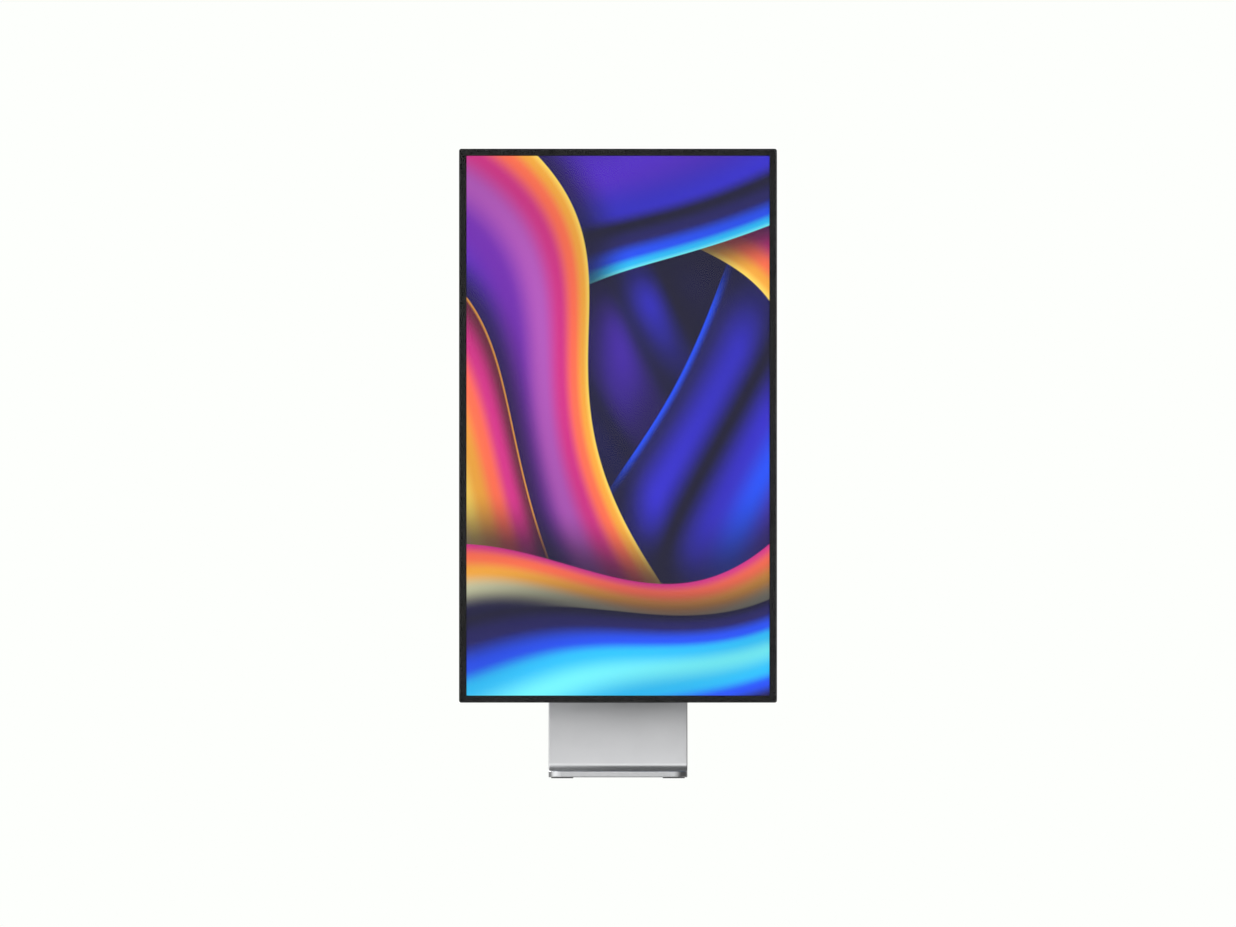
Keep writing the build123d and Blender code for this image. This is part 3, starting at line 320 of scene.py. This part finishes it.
# Each fold covers the side of a waving line that its angle points to, in degrees. The line's offset
# is its distance from the screen's middle; bend bows it, and height, rate and phase are its wave's.
# The fold's colours spread over its width, from the line inwards, and its shade is how far its shadow
# falls. Lengths are in half screen widths. A later fold lies over the earlier ones.
Fold = namedtuple("Fold", "angle offset bend height rate phase width shade stops")
FOLDS = (
    Fold(angle=-20, offset=0.10, bend=0.05, height=0.22, rate=1.5, phase=0.4, width=1.30, shade=0.50,
         stops=((0.0, ROYAL), (0.05, NAVY), (0.25, BLUE), (0.42, INK), (0.62, BLUE), (0.80, ROYAL),
                (1.0, INDIGO))),
    Fold(angle=35, offset=1.25, bend=-0.30, height=0.15, rate=1.9, phase=1.2, width=1.00, shade=0.35,
         stops=((0.0, YELLOW), (0.06, AMBER), (0.16, CORAL), (0.28, MAGENTA), (0.45, VIOLET),
                (0.70, BLUE), (1.0, NAVY))),
    Fold(angle=148, offset=0.60, bend=-0.22, height=0.13, rate=1.6, phase=2.0, width=1.00, shade=0.35,
         stops=((0.0, ICE), (0.05, CYAN), (0.14, ROYAL), (0.30, NAVY), (0.46, INK), (0.62, BLUE),
                (1.0, INDIGO))),
    Fold(angle=200, offset=-0.12, bend=0.10, height=0.30, rate=1.7, phase=0.9, width=1.55, shade=0.30,
         stops=((0.0, YELLOW), (0.03, AMBER), (0.085, CORAL), (0.16, MAGENTA), (0.27, ORCHID),
                (0.42, VIOLET), (0.62, INDIGO), (0.85, BLUE), (1.0, NAVY))),
    Fold(angle=206, offset=0.56, bend=0.16, height=0.26, rate=1.8, phase=0.5, width=1.10, shade=0.22,
         stops=((0.0, AMBER), (0.018, MAROON), (0.15, MAGENTA), (0.28, CORAL), (0.42, AMBER),
                (0.55, YELLOW), (0.70, CREAM), (0.90, NAVY), (1.0, INK))),
    Fold(angle=-75, offset=0.86, bend=-0.10, height=0.14, rate=1.9, phase=1.0, width=0.90, shade=0.40,
         stops=((0.0, MAGENTA), (0.10, CORAL), (0.22, AMBER), (0.36, CREAM), (0.52, NAVY),
                (1.0, INK))),
    Fold(angle=-62, offset=1.22, bend=-0.16, height=0.22, rate=1.7, phase=0.2, width=0.85, shade=0.30,
         stops=((0.0, INK), (0.12, NAVY), (0.26, ROYAL), (0.36, CYAN), (0.52, ICE), (0.72, CYAN),
                (0.86, ROYAL), (1.0, NAVY))),
)
GROUND = ((0.0, NAVY), (0.35, INK), (0.60, BLUE), (0.85, NAVY), (1.0, INDIGO))
EDGE_SOFT = 0.004        # half the width over which a fold's edge fades in
SWELL = 0.35             # how much a fold's width changes along it
SILK = 0.10              # how strongly fine streaks run along a fold
SHADOW = 0.85            # how dark a shadow is at the fold's edge
IDLE_EDGE = 0.0027       # unlit strip round the cell's edge, in metres
BLACK_LEVEL = 0.009      # backlight that leaks through a dark picture


def ground_colour(tree, across, up):
    """The colour behind all the folds: slow slanting waves."""
    slant = calc(tree, "MULTIPLY_ADD", up, -0.41, across)
    swirl = wave(tree, slant, rate=2.2, phase=0.0, height=0.8, base=0.7)
    drift = calc(tree, "MULTIPLY_ADD", across, 1.1, calc(tree, "MULTIPLY_ADD", up, 2.3, swirl))
    glow = wave(tree, drift, rate=1.0, phase=0.0, height=0.5, base=0.5)
    return ramp(tree, glow, GROUND, "EASE")


def lay_fold(tree, fold, across, up, behind):
    """The colour with one more fold laid over what is behind it, with its edge and shadow."""
    c, s = cos(radians(fold.angle)), sin(radians(fold.angle))
    into = calc(tree, "MULTIPLY_ADD", across, c, calc(tree, "MULTIPLY", up, s))
    along = calc(tree, "MULTIPLY_ADD", across, -s, calc(tree, "MULTIPLY", up, c))
    bow = calc(tree, "MULTIPLY", calc(tree, "MULTIPLY", along, along), fold.bend)
    line = calc(tree, "ADD", bow, wave(tree, along, fold.rate, fold.phase, fold.height, fold.offset))
    depth = calc(tree, "SUBTRACT", into, line)
    swell = wave(tree, along, rate=1.4, phase=fold.phase + 1.0, height=SWELL / fold.width,
                 base=1 / fold.width)
    inward = calc(tree, "MULTIPLY", depth, swell)
    colour = ramp(tree, inward, fold.stops, "EASE")
    streak = calc(tree, "MULTIPLY_ADD", inward, 9.0, calc(tree, "MULTIPLY", along, 2.5))
    silk = wave(tree, streak, rate=1.0, phase=fold.phase, height=SILK, base=1.0)
    silky = add(tree, "ShaderNodeVectorMath", {0: colour, "Scale": silk}, operation="SCALE").outputs[0]
    shadow = calc(tree, "MULTIPLY", smooth(tree, depth, -fold.shade, 0.0), SHADOW)
    shaded = blend(tree, shadow, behind, (*INK, 1))
    return blend(tree, smooth(tree, depth, -EDGE_SOFT, EDGE_SOFT), shaded, silky)


def lit_picture():
    """The screen: folds laid one over the other, inside the cell's unlit edge."""
    material, tree = start_material("screen")
    unit = 1 / SCREEN_HALF_W
    centred = vector_calc(tree, "SUBTRACT", object_point(tree), tuple(SCREEN_MIDDLE)).outputs[0]
    scaled = vector_calc(tree, "MULTIPLY", centred, (unit, 0, unit)).outputs[0]
    place = add(tree, "ShaderNodeSeparateXYZ", {0: scaled})
    x, z = place.outputs["X"], place.outputs["Z"]
    across = calc(tree, "ADD", x, wave(tree, z, rate=1.7, phase=0.6, height=0.10))
    up = calc(tree, "ADD", z, wave(tree, x, rate=1.9, phase=0.4, height=0.10))

    colour = ground_colour(tree, across, up)
    for fold in FOLDS:
        colour = lay_fold(tree, fold, across, up, colour)
    leaking = blend(tree, 1.0, colour, (*grey(BLACK_LEVEL), 1), "ADD")
    in_width = calc(tree, "LESS_THAN", calc(tree, "ABSOLUTE", x), (SCREEN_HALF_W - IDLE_EDGE) * unit)
    in_height = calc(tree, "LESS_THAN", calc(tree, "ABSOLUTE", z), (SCREEN_HALF_H - IDLE_EDGE) * unit)
    shown = blend(tree, calc(tree, "MULTIPLY", in_width, in_height), (0, 0, 0, 1), leaking)
    shader = add(tree, "ShaderNodeBsdfPrincipled", {
        "Base Color": (0.001, 0.001, 0.001, 1),
        "Roughness": 0.5,
        "Specular IOR Level": 0.0,
        "Emission Color": shown,
        "Emission Strength": 1.0,
    })
    finish_material(tree, shader)
    return material


# ---- dress every CAD node: each names its material in the record --------------------------------
ANODISED = (0.74, 0.745, 0.755)
MATERIALS = {
    "stand_metal": blasted_metal("stand_metal", ANODISED),
    "column_cover_metal": blasted_metal("column_cover_metal", (0.70, 0.705, 0.715), 0.40),
    "arm_metal": blasted_metal("arm_metal", ANODISED),
    "housing_metal": blasted_metal("housing_metal", ANODISED, 0.38),
    "disc_metal": turned_metal("disc_metal", (0.68, 0.685, 0.70), DISC_MIDDLE),
    "cap_metal": ground_steel("cap_metal", (0.62, 0.63, 0.65), 0.25, (900, 900, 900)),
    "steel": ground_steel("steel", (0.55, 0.55, 0.56)),
    "dark_steel": ground_steel("dark_steel", (0.06, 0.06, 0.065), 0.4),
    "spring_steel": ground_steel("spring_steel", (0.28, 0.28, 0.30), 0.32),
    "foot_rubber": foot_rubber(),
    "bearing_plastic": moulded_plastic("bearing_plastic", (0.72, 0.69, 0.58), 0.35),
    "trim_black": moulded_plastic("trim_black", grey(0.002), 0.6, shine=0.03),
    "border_black": moulded_plastic("border_black", grey(0.020), 0.6, shine=0.0),
    "clear_glass": clear_glass(),
    "screen": lit_picture(),
    "film_white": moulded_plastic("film_white", (0.80, 0.81, 0.83), 0.3),
    "diffuser_white": moulded_plastic("diffuser_white", grey(0.88)),
    "led_yellow": moulded_plastic("led_yellow", (0.90, 0.78, 0.25), 0.3),
    "board_white": circuit("board_white", (0.60, 0.60, 0.58)),
    "chassis_steel": ground_steel("chassis_steel", (0.52, 0.54, 0.56), 0.4, (90, 90, 900)),
    "frame_plastic": moulded_plastic("frame_plastic", grey(0.02)),
    "board_green": circuit("board_green", (0.010, 0.060, 0.030)),
    "chip_black": moulded_plastic("chip_black", (0.02, 0.02, 0.021), 0.45),
    "sink_metal": ground_steel("sink_metal", (0.62, 0.62, 0.64), 0.35, (900, 900, 60)),
    "flex_amber": moulded_plastic("flex_amber", (0.42, 0.19, 0.03), 0.25),
    "inlet_black": moulded_plastic("inlet_black", grey(0.012), 0.42),
    "contact_metal": ground_steel("contact_metal", (0.72, 0.69, 0.60), 0.2, (900, 60, 900)),
    "fan_black": moulded_plastic("fan_black", (0.018, 0.018, 0.020), 0.4),
}
SMOOTH_BELOW = radians(28)
for entry in frame["record"]["subparts"]:
    piece = nodes[entry["node"]]
    piece.data.materials.clear()
    piece.data.materials.append(MATERIALS[entry["material_slot"]])
    piece.data.shade_smooth()
    piece.data.set_sharp_from_angle(angle=SMOOTH_BELOW)

# ---- floor: plain and pale, seen by the camera but not in reflections ----------------------------
FLOOR_HALF = 6.0
FLOOR_CORNERS = [(-FLOOR_HALF, -FLOOR_HALF, 0), (FLOOR_HALF, -FLOOR_HALF, 0),
                 (FLOOR_HALF, FLOOR_HALF, 0), (-FLOOR_HALF, FLOOR_HALF, 0)]
floor_mesh = bpy.data.meshes.new("floor")
floor_mesh.from_pydata(FLOOR_CORNERS, [], [(0, 1, 2, 3)])
floor = bpy.data.objects.new("floor", floor_mesh)
scene.collection.objects.link(floor)
floor.visible_glossy = False
floor.visible_diffuse = False
floor.visible_shadow = False
floor_material, floor_tree = start_material("floor")
finish_material(floor_tree, add(floor_tree, "ShaderNodeBsdfPrincipled", {
    "Base Color": mottled(floor_tree, object_point(floor_tree), grey(0.86), amount=0.01, scale=3),
    "Roughness": 0.9,
}))
floor_mesh.materials.append(floor_material)


# ---- lights --------------------------------------------------------------------------------------
def panel_light(name, place, target, size, power):
    """A soft rectangular light that points at a target, and isn't seen itself."""
    data = bpy.data.lights.new(name, "AREA")
    data.shape = "RECTANGLE"
    data.size, data.size_y = size
    data.energy = power
    light = bpy.data.objects.new(name, data)
    light.location = place
    light.rotation_euler = (Vector(target) - Vector(place)).to_track_quat("-Z", "Y").to_euler()
    light.visible_camera = False
    scene.collection.objects.link(light)


panel_light("rear_light", place=(-1.4, 2.6, 1.9), target=MIDDLE, size=(1.8, 1.4), power=45)
panel_light("high_front_light", place=(-2.0, -1.3, 3.0), target=MIDDLE, size=(1.6, 1.2), power=16)

# ---- surroundings, which the metal and the glass reflect -----------------------------------------
# How bright they are round the horizon, by azimuth from the front in degrees, with left negative.
# The left is a bright softbox, the right falls away to dark, and the rear is half lit.
BRIGHTEST = 1.65
ROUND = ((-180, 0.62), (-152, 0.38), (-122, 0.13), (-98, 0.45), (-80, 1.25), (-52, BRIGHTEST),
         (-25, 1.15), (-5, 0.85), (8, 0.75), (25, 0.44), (50, 0.06), (90, 0.015), (120, 0.015),
         (142, 0.35), (180, 0.62))
# How that changes with height, by the sine of the elevation. In front, a bright band stands a little
# above the horizon under a dark ceiling, and the floor shines below it, with a dark strip between
# them. To the sides and behind it is plainer.
BAND = 1.90
IN_FRONT = ((-1.0, 0.05), (-0.76, 0.10), (-0.58, 1.60), (-0.46, 1.20), (-0.38, 0.08), (-0.30, 0.04),
            (-0.08, 0.46), (0.0, 1.02), (0.06, 1.14), (0.16, 1.70), (0.32, BAND), (0.48, 1.00),
            (0.66, 0.20), (1.0, 0.02))
ELSEWHERE = ((-1.0, 0.0), (-0.30, 0.0), (-0.06, 0.80), (0.0, 1.0), (0.20, 1.05), (0.60, 0.95),
             (0.80, 0.40), (1.0, 0.10))
FRONT_ENDS = (14, 42)    # degrees to either side over which the front gives way to elsewhere
# Light that a pale floor throws up from below the horizon, and the degrees to either side over which
# it comes in.
FLOOR_GLOW = ((-1.0, 0.36), (-0.32, 0.40), (-0.18, 0.30), (-0.07, 0.03), (0.0, 0.0), (1.0, 0.0))
GLOW_STARTS = (50, 85)
BACKDROP = (0.985, 1.0, 0.975, 1)


def by_azimuth(tree, azimuth, levels, brightest):
    """A ramp by the azimuth in radians, from levels by degrees, as parts of the brightest."""
    turn = calc(tree, "MULTIPLY_ADD", azimuth, 1 / radians(360), 0.5)
    return ramp(tree, turn, [((a + 180) / 360, grey(level / brightest)) for a, level in levels])


def by_height(tree, height, levels, brightest):
    """A ramp by the sine of the elevation, from levels as parts of the brightest."""
    return ramp(tree, height, [((z + 1) / 2, grey(level / brightest)) for z, level in levels])


def fade_in(tree, angle, ends):
    """0 below the first of two angles in degrees, 1 above the second."""
    start, end = (radians(degrees) for degrees in ends)
    return smooth(tree, angle, start, end)


world = bpy.data.worlds.new("studio")
scene.world = world
world.use_nodes = True
sky = world.node_tree
sky.nodes.clear()
direction = add(sky, "ShaderNodeSeparateXYZ", {0: add(sky, "ShaderNodeTexCoord").outputs["Generated"]})
forward = calc(sky, "MULTIPLY", direction.outputs["Y"], -1.0)
azimuth = calc(sky, "ARCTAN2", direction.outputs["X"], forward)
aside = calc(sky, "ABSOLUTE", azimuth)
height = calc(sky, "MULTIPLY_ADD", direction.outputs["Z"], 0.5, 0.5)
around = by_azimuth(sky, azimuth, ROUND, BRIGHTEST)
upward = blend(sky, fade_in(sky, aside, FRONT_ENDS), by_height(sky, height, IN_FRONT, BAND),
               by_height(sky, height, ELSEWHERE, BAND))
thrown_up = blend(sky, 1.0, by_height(sky, height, FLOOR_GLOW, 1.0), fade_in(sky, aside, GLOW_STARTS),
                  "MULTIPLY")
lit = add(sky, "ShaderNodeBackground", {"Color": blend(sky, 1.0, around, upward, "MULTIPLY"),
                                        "Strength": BRIGHTEST * BAND})
below = add(sky, "ShaderNodeBackground", {"Color": thrown_up, "Strength": 1.0})
studio = add(sky, "ShaderNodeAddShader", {0: lit.outputs[0], 1: below.outputs[0]})
seen = add(sky, "ShaderNodeBackground", {"Color": BACKDROP, "Strength": 1.0})
path = add(sky, "ShaderNodeLightPath")
either = add(sky, "ShaderNodeMixShader", {0: path.outputs["Is Camera Ray"], 1: studio.outputs[0],
                                          2: seen.outputs[0]})
add(sky, "ShaderNodeOutputWorld", {"Surface": either.outputs[0]})
